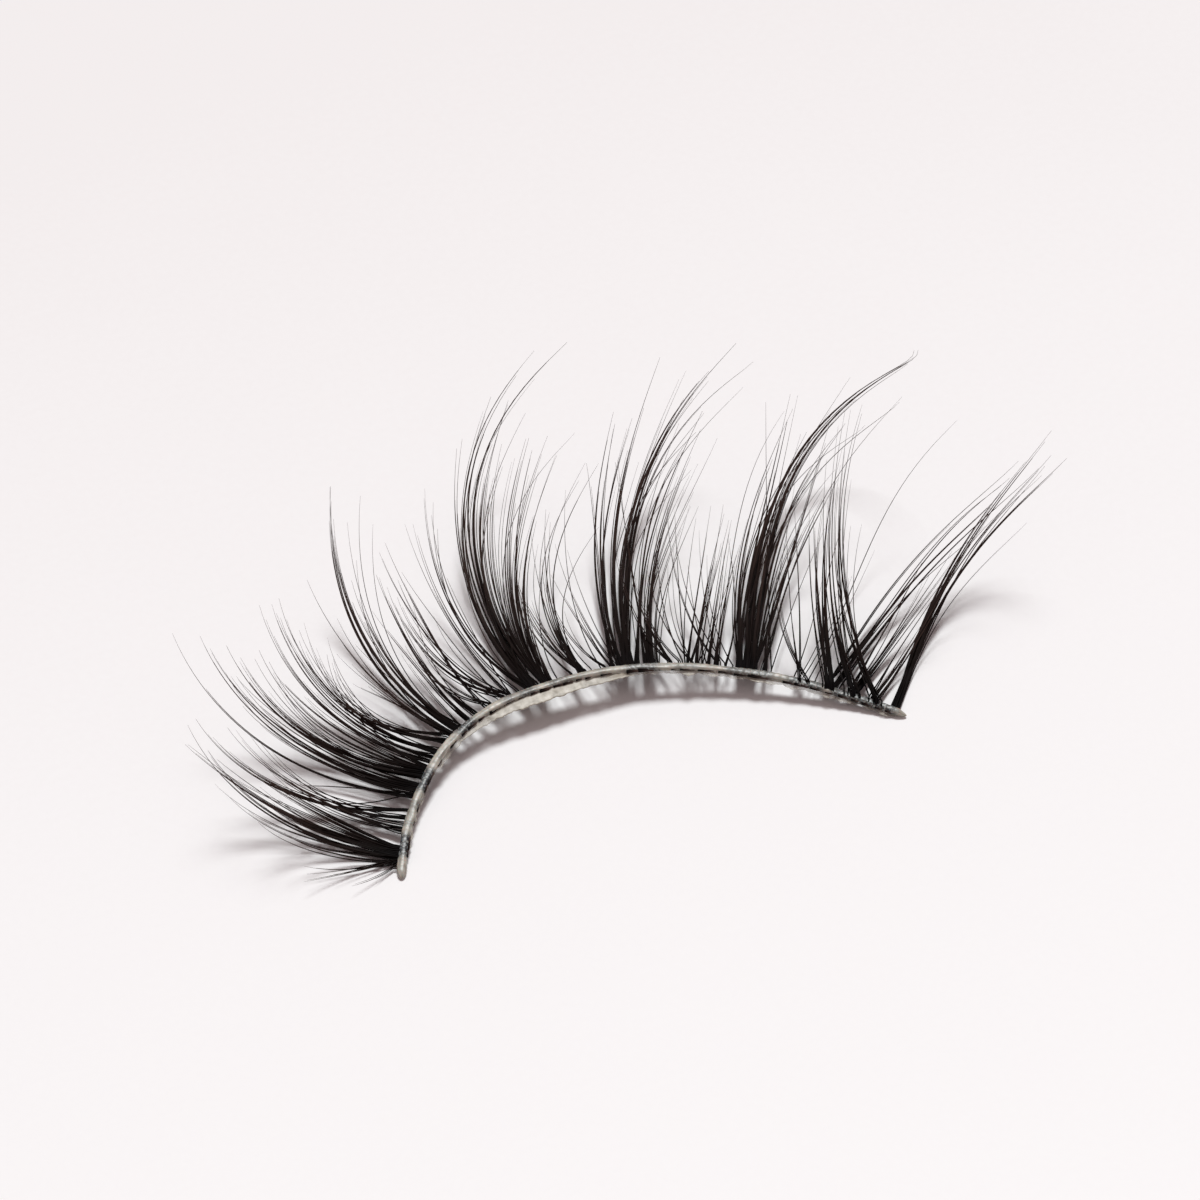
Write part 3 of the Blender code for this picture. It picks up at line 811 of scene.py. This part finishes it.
tufts["short_tuft_2"] = {
    "middle": 16.06, "seed": 19, "fill": 12,
    "locks": [
        (-1.15, -16.5, -8.3, 2, 0.27, 4, 0.3, 0.4, 0.18, 0.35, 0.85),
        (-0.6, -23.4, 36.7, 2, 0.336, 3, 0.3, 0.4, 0.18, 0.35, 0.8),
        (-1.49, -0.6, 25.2, 2, 0.43, 4, 0.3, 0.4, 0.13, 0.35, 0.85),
        (-0.96, -4, 89, 2, 0.587, 2, 0.2, 0.4, 0.13, 0.3, 0.85),
        (-0.85, -7.7, 88.3, 2, 0.588, 2, 0.2, 0.4, 0.13, 0.3, 0.8),
        (-2.77, -15.7, -8.9, 2, 0.232, 2, 0.2, 0.4, 0.16, 0.3, 0.8),
        (3.2, -11.9, -28.9, 2, 0.268, 2, 0.2, 0.4, 0.16, 0.3, 0.8),
        (4.04, -13.9, -2.5, 2, 0.337, 2, 0.2, 0.4, 0.16, 0.3, 0.8),
        (2.42, -25.7, 9.4, 2, 0.247, 2, 0.2, 0.4, 0.16, 0.3, 0.8),
    ],
    "hairs": [
        (0.34, -10.1, -6.8, 2, 0.252, 0.8), (-5, 6.6, 33.8, 2, 0.304, 0.75),
        (-5.75, 10.3, -42.5, 2, 0.137, 0.75), (1.7, -3.6, 24.3, 2, 0.472, 0.8),
        (4.47, -10.7, -5.9, 2, 0.317, 0.75),
    ],
}
tufts["tall_tuft_2"] = {
    "middle": 18.3, "seed": 20, "fill": 20,
    "locks": [
        (-2.7, -0.7, 36.3, 2, 0.67, 7, 0.35, 0.3, 0.16, 0.35, 1.05),
        (-3.77, 6.9, -13.8, 6, 0.537, 3, 0.3, 0.4, 0.16, 0.3, 0.9),
        (-2.21, 0, 44.8, 2, 0.654, 3, 0.25, 0.35, 0.13, 0.3, 0.9),
        (-1.73, 2.1, 47.1, 2, 0.829, 7, 0.35, 0.3, 0.13, 0.3, 1.05),
        (-1.99, 10, 102.7, 3.2, 0.944, 8, 0.4, 0.3, 0.16, 0.3, 1.05),
        (-1, -0.2, 69.3, 2, 0.738, 5, 0.35, 0.3, 0.16, 0.3, 1),
        (-0.67, 2.3, 53.4, 2, 0.774, 2, 0.2, 0.35, 0.16, 0.3, 0.8),
        (-1.25, 9, 138.5, 3.4, 0.94, 3, 0.3, 0.35, 0.13, 0.45, 0.9),
        (-0.17, 9.7, 77, 4.1, 0.625, 6, 0.35, 0.3, 0.19, 0.35, 1),
        (1.32, 3.7, 53.4, 2, 0.686, 7, 0.4, 0.3, 0.19, 0.35, 1.05),
        (2.07, 2, 53.1, 2, 0.633, 6, 0.4, 0.3, 0.19, 0.35, 1.05),
        (2.37, -4.7, 55.9, 1, 0.617, 3, 0.3, 0.35, 0.16, 0.4, 0.9),
        (2.88, 1.9, 50.8, 2, 0.42, 3, 0.3, 0.35, 0.2, 0.4, 0.85),
    ],
    "hairs": [
        (3.18, 6.1, 32.2, 2, 0.416, 0.8), (1.65, 1.4, -14.1, 2, 0.528, 0.8),
        (1.92, -1.7, -3.1, 2, 0.532, 0.8), (-2.09, -1.2, 23.1, 2, 0.512, 0.75),
    ],
}
tufts["short_tuft_3"] = {
    "middle": 21.25, "seed": 21, "fill": 14,
    "locks": [
        (-4.77, -22.6, 7.9, 2, 0.321, 3, 0.3, 0.4, 0.16, 0.35, 0.85),
        (-4.75, -21.4, -6.8, 2, 0.213, 2, 0.25, 0.4, 0.16, 0.3, 0.85),
        (-3.4, -25.8, 16, 2, 0.306, 2, 0.25, 0.4, 0.16, 0.3, 0.8),
        (-1.46, -28.5, 15.5, 2, 0.266, 2, 0.25, 0.4, 0.13, 0.3, 0.8),
        (2.34, -25.7, 20.9, 2, 0.419, 2, 0.2, 0.4, 0.1, 0.3, 0.85),
        (-2.1, 7.7, 5.5, 2, 0.408, 3, 0.25, 0.4, 0.1, 0.35, 0.85),
        (-1.53, 9.9, 4.3, 2, 0.41, 2, 0.2, 0.4, 0.1, 0.3, 0.85),
        (-0.71, 5.1, 18.3, 2, 0.384, 4, 0.3, 0.4, 0.13, 0.35, 0.85),
        (0.98, 4.2, 10.8, 2, 0.369, 3, 0.25, 0.4, 0.13, 0.35, 0.9),
        (2.08, 1.8, 22.9, 2, 0.308, 4, 0.3, 0.4, 0.13, 0.35, 0.9),
        (3.39, 2.6, -20.6, 2, 0.317, 2, 0.2, 0.4, 0.16, 0.3, 0.8),
    ],
    "hairs": [
        (-1.53, -19.5, 24.1, 2, 0.254, 0.75), (3.41, -27.7, 11.2, 2, 0.345, 0.75),
        (1.98, 3.2, 70.4, 4.7, 0.684, 0.8), (-0.56, 12.7, 20, 2, 0.287, 0.75),
        (4.53, -23.3, 20.7, 2, 0.285, 0.75), (0.6, -11.7, 0.9, 2, 0.252, 0.75),
        (2.75, -15.1, 10.9, 2, 0.344, 0.75),
    ],
}
tufts["tall_tuft_3"] = {
    "middle": 23.85, "seed": 22, "fill": 20,
    "locks": [
        (-2.64, -9.4, 54, 2, 0.682, 6, 0.35, 0.3, 0.16, 0.35, 1.05),
        (-2.76, -8.4, 33.2, 2, 0.479, 3, 0.3, 0.35, 0.16, 0.4, 0.9),
        (-3.01, -4.4, 20.7, 1, 0.705, 8, 0.4, 0.3, 0.16, 0.35, 1.05),
        (-1.61, -9.5, 59.8, 2, 0.626, 5, 0.35, 0.3, 0.18, 0.35, 1),
        (-1.99, -2.3, 182, 3.3, 1.074, 8, 0.4, 0.3, 0.13, 0.25, 1.05),
        (-1.12, -2.8, 185.3, 3.4, 1.073, 8, 0.4, 0.3, 0.13, 0.25, 1.05),
        (-0.61, -9.5, 73, 2, 0.803, 3, 0.3, 0.35, 0.13, 0.35, 0.9),
        (-0.65, 0.7, 77.4, 3.7, 0.656, 5, 0.35, 0.3, 0.16, 0.35, 1),
        (-0.68, 4.3, 17.6, 2, 0.651, 3, 0.3, 0.35, 0.16, 0.35, 0.9),
        (0.88, -2.6, 52.2, 2, 0.521, 8, 0.4, 0.3, 0.19, 0.4, 1.05),
        (-0.93, -0.6, 6.6, 2, 0.453, 3, 0.3, 0.35, 0.18, 0.4, 0.85),
    ],
    "hairs": [
        (0.27, 3.4, 86.4, 3, 0.792, 0.85), (1.88, -10.2, 0.2, 2, 0.678, 0.75),
        (-0.72, -2.8, 16, 2, 0.702, 0.75), (-1.6, -3.6, 16.8, 2, 0.504, 0.75),
    ],
}
tufts["outer_tuft_in"] = {
    "middle": 29.02, "seed": 23, "fill": 6, "seat": "top", "lift": 10.0,
    "locks": [
        (-9.04, -43.5, 46.6, 2, 0.267, 2, 0.3, 0.5, 0.13, 0.3, 0.8),
        (-8.97, -38.2, 40.8, 2, 0.288, 2, 0.3, 0.5, 0.13, 0.3, 0.8),
        (-10.47, -17.4, 4.9, 2, 0.397, 2, 0.2, 0.5, 0.1, 0.3, 0.8),
        (-10.26, -13.2, -4.6, 2, 0.416, 2, 0.2, 0.5, 0.1, 0.3, 0.8),
        (-6.54, -23.3, 13.6, 2, 0.404, 2, 0.3, 0.5, 0.13, 0.35, 0.8),
        (-6.03, -23.3, 10.4, 2, 0.394, 3, 0.35, 0.5, 0.16, 0.3, 0.8),
        (-5.57, -25.6, 32.1, 2, 0.437, 3, 0.35, 0.5, 0.16, 0.3, 0.8),
        (-5.64, -22.2, 38, 2, 0.561, 3, 0.35, 0.5, 0.16, 0.35, 0.8),
        (-5.46, -20.7, 17.3, 2, 0.424, 3, 0.35, 0.5, 0.16, 0.35, 0.8),
        (-5.3, -19.2, 16, 2, 0.466, 3, 0.35, 0.5, 0.16, 0.35, 0.8),
        (-2.18, -33.4, 28.5, 1, 0.618, 2, 0.3, 0.5, 0.13, 0.35, 0.8),
        (-2, -30.4, 32.3, 2, 0.491, 2, 0.3, 0.5, 0.13, 0.35, 0.8),
        (-2.2, -25.2, 25.9, 2, 0.651, 2, 0.3, 0.5, 0.13, 0.3, 0.8),
        (-1.82, -25.6, 26, 2, 0.652, 2, 0.3, 0.5, 0.13, 0.3, 0.8),
        (1.5, -38.1, 35.9, 2, 0.542, 3, 0.35, 0.6, 0.13, 0.35, 0.8),
        (1.55, -36.4, 49.5, 2, 0.667, 3, 0.35, 0.6, 0.13, 0.35, 0.8),
        (1.86, -36.2, 50, 2, 0.683, 2, 0.3, 0.6, 0.13, 0.35, 0.8),
        (-1, -35.6, 21.5, 2, 0.242, 2, 0.2, 0.5, 0.13, 0.3, 0.8),
    ],
    "hairs": [(2.49, -44, 25, 2, 0.289, 0.85)],
}
tufts["outer_tuft_out"] = {
    "middle": 28.72, "seed": 24, "fill": 10, "lift": -2.0,
    "locks": [
        (-5.15, 6.7, 81.9, 2, 0.724, 2, 0.25, 0.5, 0.1, 0.3, 0.9),
        (-5.54, 15.9, 107.5, 3.9, 0.685, 5, 0.35, 0.5, 0.1, 0.3, 0.95),
        (-4.25, 8.5, 76.6, 2, 0.617, 3, 0.3, 0.5, 0.1, 0.3, 0.95),
        (-3.71, 8.5, 82.8, 2, 0.73, 2, 0.3, 0.5, 0.1, 0.3, 0.9),
        (-1.93, 8.5, 24.2, 2, 0.348, 3, 0.3, 0.5, 0.1, 0.3, 0.9),
        (-1.46, 9.6, 39.8, 2, 0.407, 3, 0.3, 0.5, 0.13, 0.3, 0.9),
        (-0.92, 10.7, 42.4, 2, 0.399, 4, 0.3, 0.5, 0.16, 0.3, 0.9),
        (1.69, 10, 24.8, 2, 0.315, 4, 0.35, 0.5, 0.13, 0.3, 0.95),
        (2.45, 10, 20.8, 2, 0.273, 3, 0.35, 0.5, 0.16, 0.3, 0.95),
        (1.27, 6.9, 39.1, 2, 0.329, 2, 0.3, 0.5, 0.2, 0.3, 0.9),
        (5.07, -6.4, 67.4, 2, 0.761, 6, 0.5, 0.35, 0.16, 0.35, 0.95),
        (5.4, -5.8, 62.3, 2, 0.726, 6, 0.5, 0.35, 0.19, 0.35, 0.95),
        (5.45, -6.9, 91.7, 2, 0.736, 5, 0.4, 0.35, 0.1, 0.3, 1),
        (4.68, 0.1, 107.2, 3.6, 0.68, 2, 0.3, 0.4, 0.13, 0.3, 0.85),
    ],
    "hairs": [
        (-9.59, 10.7, 5.1, 2, 0.231, 0.8), (-10.46, 1.6, 12.3, 2, 0.247, 0.8),
        (-13.8, 3.6, 26.1, 2, 0.381, 0.8), (-8.19, 5.6, 91.4, 4.2, 0.755, 0.85),
        (-7.17, 5, 22.8, 2, 0.349, 0.7), (-9.14, 9.1, 17.5, 2, 0.274, 0.8),
        (5.83, -6.5, 90.3, 2, 0.546, 0.75),
    ],
}
for name, tuft in tufts.items():
    tufts[name] = {
        **usualTuft, **tuft,
        "locks": [Lock(*row) for row in tuft["locks"]],
        "hairs": [Hair(*row) for row in tuft["hairs"]],
    }


# The line that one lash follows, with its way forward at each point
def lashLine(tuft, row):
    along = tuft["middle"] * mm + row.place * lashShape["pitch"]
    edge = lashShape["fromEnd"]
    station = stationAt(min(max(along, edge), bandShape["arc"] - edge))
    droop = lashShape["droop"] * math.sin(math.pi * station.along / bandShape["arc"]) - tuft["lift"]
    points = [besideBand(station, outward * mm, up * mm) for outward, up in seats[tuft["seat"]]]
    start = station.heading + 90.0 - row.lean
    headings = [station.heading + 90.0] * (len(points) - 1) + [start]
    step = lashShape["longest"] * row.length / lashShape["steps"]
    for i in range(lashShape["steps"]):
        t = (i + 0.5) / lashShape["steps"]
        heading = start - row.sweep * t ** row.bend
        rise = (lashShape["tipRise"] * tuft["curl"] + droop) * t ** lashShape["curlPower"] - droop
        points.append(points[-1] + direction(heading, rise) * step)
        headings.append(heading)
    return station, points, headings


bundleLabels = ("fibres", "spread", "gather", "splay", "shorten", "thin", "depth")


# Guide lines as a mesh of edges, where each point carries its bundle's sizes. A line is its
# points, the way its fibres lie side by side at the root, the way they part later, its sizes.
def guideMesh(name, lines):
    points, edges = [], []
    numbers = {label: [] for label in bundleLabels}
    vectors = {"alongBand": [], "across": []}
    for line, sideBySide, across, sizes in lines:
        edges += [(k, k + 1) for k in range(len(points), len(points) + len(line) - 1)]
        points += line
        vectors["alongBand"] += [sideBySide] * len(line)
        vectors["across"] += across
        for label, value in zip(bundleLabels, sizes):
            numbers[label] += [value] * len(line)
    mesh = bpy.data.meshes.new(name)
    mesh.from_pydata(points, edges, [])
    for label, values in numbers.items():
        mesh.attributes.new(label, "FLOAT", "POINT").data.foreach_set("value", values)
    for label, values in vectors.items():
        flat = [number for vector in values for number in vector]
        mesh.attributes.new(label, "FLOAT_VECTOR", "POINT").data.foreach_set("vector", flat)
    return addObject(name, mesh)


# Hairs that fall between two neighbouring locks, and how far they stray from there
strays = {"place": 0.3, "lean": 5.0, "sweep": 10.0, "length": (0.66, 1.0), "thin": (0.7, 0.95)}


def fillHairs(tuft):
    chance = random.Random(tuft["seed"])
    locks = sorted(tuft["locks"], key=lambda lock: lock.place)
    hairs = []
    for i in range(tuft["fill"]):
        k = chance.randrange(len(locks) - 1)
        t = chance.random()
        values = [x + (y - x) * t for x, y in zip(locks[k][:5], locks[k + 1])]
        place, lean, sweep, bend, length = values
        place += chance.uniform(-strays["place"], strays["place"])
        lean += chance.uniform(-strays["lean"], strays["lean"])
        sweep += chance.uniform(-strays["sweep"], strays["sweep"])
        length *= chance.uniform(*strays["length"])
        hairs.append(Hair(place, lean, sweep, bend, length, chance.uniform(*strays["thin"])))
    return hairs


def tuftLines(tuft):
    lines = []
    for row in tuft["locks"] + tuft["hairs"] + fillHairs(tuft):
        station, points, headings = lashLine(tuft, row)
        across = [direction(heading - 90.0) for heading in headings]
        if isinstance(row, Lock):
            sizes = (row.fibres, row.spread * lashShape["pitch"], row.gather, row.splay * mm,
                     row.shorten, row.thin, lashShape["depth"])
        else:
            sizes = (1, 0.0, 0.5, 0.0, 0.0, row.thin, lashShape["depth"] / 2)
        lines.append((points, direction(station.heading), across, sizes))
    return lines


# Cut fibre ends: short black dashes that lie along the band's inner top edge, in mm from its
# inner end. amount is how many fibres lie side by side.

rootEndLook = {
    "outward": -0.20 * mm,
    "up": 0.035 * mm,
    "spread": 0.045 * mm,
    "splay": 0.05 * mm,
    "points": 7,
    "waver": 0.03 * mm,
    "waverLength": 0.4 * mm,
    "thin": 1.15,
    "depth": 0.01 * mm,
}
rootEnds = [Span(*row) for row in (
    (1.20, 1.75, 2), (1.60, 2.40, 2), (3.02, 3.32, 3), (3.80, 4.30, 1), (5.00, 5.60, 3),
    (5.45, 6.30, 3), (6.65, 7.10, 2), (7.90, 8.40, 2), (8.80, 9.22, 3), (9.30, 9.85, 3),
    (10.02, 10.38, 3), (10.70, 11.35, 3), (11.50, 12.25, 1), (12.30, 12.75, 1), (12.95, 13.40, 2),
    (13.42, 14.02, 4), (14.12, 14.70, 2), (14.60, 15.12, 2), (15.25, 15.55, 1), (15.70, 16.00, 1),
    (16.45, 17.00, 2), (17.70, 18.35, 4), (18.25, 19.02, 4), (19.22, 19.55, 2), (19.80, 20.05, 1),
    (20.22, 20.95, 2), (21.05, 21.80, 2), (22.02, 22.75, 2), (22.75, 23.60, 4), (23.40, 24.45, 4),
    (25.05, 25.70, 3), (25.60, 26.30, 3), (26.35, 26.95, 2), (27.10, 27.45, 2), (27.70, 28.20, 2),
    (28.35, 28.70, 2), (28.85, 29.40, 3), (29.50, 29.85, 2), (30.00, 30.30, 1),
)]


def rootEndLines():
    lines = []
    for span in rootEnds:
        points, across = [], []
        for k in range(rootEndLook["points"]):
            along = (span.first + (span.last - span.first) * k / (rootEndLook["points"] - 1)) * mm
            station = stationAt(along)
            waver = bumps(along / rootEndLook["waverLength"], 11.0) * rootEndLook["waver"]
            points.append(besideBand(station, rootEndLook["outward"] + waver, rootEndLook["up"]))
            across.append(direction(station.heading - 90.0))
        side = direction(station.heading - 90.0) * 0.75 - Vector((0.0, 0.0, 0.65))
        sizes = (span.amount, rootEndLook["spread"] * (span.amount - 1) / 2, 2.0, 0.0, 0.2,
                 rootEndLook["thin"], rootEndLook["depth"])
        lines.append((points, side, across, sizes))
    return lines


# Small drops of clear glue on the band's inner side, one on each point of a mesh
def makeDropTree():
    tree, size = newTree("dropsOnPoints", [
        ("Drop Size", "Float"), ("Smallest", "Vector"), ("Largest", "Vector"),
        ("Seed", "Int"), ("Material", "Material"),
    ])
    drop = addNode(tree, "GeometryNodeMeshIcoSphere", {"Radius": 1.0, "Subdivisions": 2})
    pick = addNode(tree, "FunctionNodeRandomValue", {
        0: size["Smallest"], 1: size["Largest"], "Seed": size["Seed"],
    }, data_type="FLOAT_VECTOR")
    place = addNode(tree, "GeometryNodeInstanceOnPoints", {
        "Points": size["Geometry"], "Instance": drop,
        "Scale": scaled(tree, pick.outputs[0], size["Drop Size"]),
    })
    return finishTree(tree, place, size["Material"])


dropLook = {
    "Drop Size": 0.042 * mm,
    "Smallest": (0.6, 0.6, 0.45),   # shares of the drop size, along X, Y and Z
    "Largest": (1.7, 1.2, 0.9),
    "Seed": 5,
}
# Where the drops sit, in mm: along the band, outward of its middle, above its middle
drops = [
    (6.6, -0.17, 0.03), (8.5, -0.19, 0.02), (10.6, -0.20, 0.00), (12.6, -0.17, 0.05),
    (14.9, -0.18, 0.04), (16.3, -0.16, 0.08), (19.7, -0.12, 0.11), (20.4, -0.18, 0.05),
    (21.4, -0.14, 0.10), (21.9, -0.22, -0.02), (22.2, -0.20, 0.01), (23.9, -0.11, 0.12),
    (25.6, -0.13, 0.11), (26.0, -0.14, 0.10), (26.7, -0.20, 0.00), (27.2, -0.12, 0.11),
    (28.2, -0.15, 0.08), (29.0, -0.12, 0.10), (29.5, -0.17, 0.06), (30.4, -0.13, 0.08),
]


def dropPoints():
    mesh = bpy.data.meshes.new("drop_points")
    mesh.from_pydata([
        besideBand(stationAt(along * mm), outward * mm, up * mm) for along, outward, up in drops
    ], [], [])
    return addObject("drop_points", mesh)


def settle(piece, slotName, *nodes):
    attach(piece, "root")
    if nodes:
        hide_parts(*nodes)


settle(makeBandThread(), "band_cream", "band_strand")
settle(makeGlueSkirt(), "glue_clear", "glue_edge")
print("band and glue made")

fibreTree = makeFibreTree()
for node, tuft in tufts.items():
    guides = guideMesh(node + "_guides", tuftLines(tuft))
    values = {**fibreLook, "Seed": tuft["seed"], "Material": lashBlack}
    settle(grown(node + "_fibres", guides, fibreTree, values), "lash_black", node)
print("lashes made")

values = {**fibreLook, "Tip Share": 0.55, "Bow": 0.0, "Rings": 8, "Seed": 31, "Material": lashBlack}
guides = guideMesh("root_end_guides", rootEndLines())
settle(grown("cut_root_ends", guides, fibreTree, values), "lash_black")
values = {**dropLook, "Material": glueBead}
settle(grown("glue_drops", dropPoints(), makeDropTree(), values), "glue_clear")
print("root ends and drops made")


# Stage: a white surface, a broad soft light above and behind, and the photo's viewpoint

stageLook = {
    "floorSize": 2.0,
    "keyAngle": 18.0,     # apparent width of the light, which sets the shadow's soft edge
    "keyStrength": 2.8,
    "keyColour": (0.975, 1.01, 1.01),
    "keyBack": 31.0,      # degrees behind straight above
    "keySide": 3.0,       # degrees to the right
    "skyStrength": 0.28,
    "skyColour": (1.14, 0.93, 0.92),
}
cameraLook = {
    "azimuth": -24.0,
    "elevation": 44.0,
    "distance": 0.35,
    "metresPerPixel": 0.0458 * mm,
    "imageSize": 1200,
    "anchor": (-2.14 * mm, -11.68 * mm, 0.13 * mm),   # this point of the object
    "anchorPixel": (657.0, 796.0),                    # is seen here
}


def makeStage():
    bpy.ops.mesh.primitive_plane_add(size=stageLook["floorSize"])
    floor = bpy.context.object
    floor.name = "table_top"
    floor.data.materials.append(paperWhite)
    lamp = bpy.data.lights.new("softKey", "SUN")
    lamp.angle = math.radians(stageLook["keyAngle"])
    lamp.energy = stageLook["keyStrength"]
    lamp.color = stageLook["keyColour"]
    key = addObject("softKey", lamp)
    azimuth = math.radians(cameraLook["azimuth"])
    back, side = math.radians(stageLook["keyBack"]), math.radians(stageLook["keySide"])
    away = Vector((-math.sin(azimuth), math.cos(azimuth), 0.0))   # from the camera, along the floor
    right = Vector((math.cos(azimuth), math.sin(azimuth), 0.0))
    toLight = Vector((0.0, 0.0, 1.0)) + away * math.tan(back) + right * math.tan(side)
    key.rotation_mode = "QUATERNION"
    key.rotation_quaternion = toLight.to_track_quat("Z", "Y")
    world = bpy.data.worlds.new("softSky")
    world.use_nodes = True
    plugInto(world.node_tree, world.node_tree.nodes["Background"], {
        "Color": (*stageLook["skyColour"], 1.0), "Strength": stageLook["skyStrength"],
    })
    bpy.context.scene.world = world
    bpy.context.scene.view_settings.view_transform = "Standard"


def makeCamera():
    a, e = math.radians(cameraLook["azimuth"]), math.radians(cameraLook["elevation"])
    back = Vector((math.sin(a) * math.cos(e), -math.cos(a) * math.cos(e), math.sin(e)))
    right = Vector((math.cos(a), math.sin(a), 0.0))
    up = back.cross(right)
    perPixel, middle = cameraLook["metresPerPixel"], cameraLook["imageSize"] / 2
    x, y = cameraLook["anchorPixel"]
    target = Vector(cameraLook["anchor"])
    target += right * (middle - x) * perPixel + up * (y - middle) * perPixel
    data = bpy.data.cameras.new("photoView")
    data.sensor_width = 36.0
    data.lens = 36.0 * cameraLook["distance"] / (perPixel * cameraLook["imageSize"])
    data.clip_start = 0.01
    camera = addObject("photoView", data)
    camera.location = target + back * cameraLook["distance"]
    camera.rotation_mode = "QUATERNION"
    camera.rotation_quaternion = back.to_track_quat("Z", "Y")
    bpy.context.scene.camera = camera


makeStage()
makeCamera()
print("stage, light and camera made")
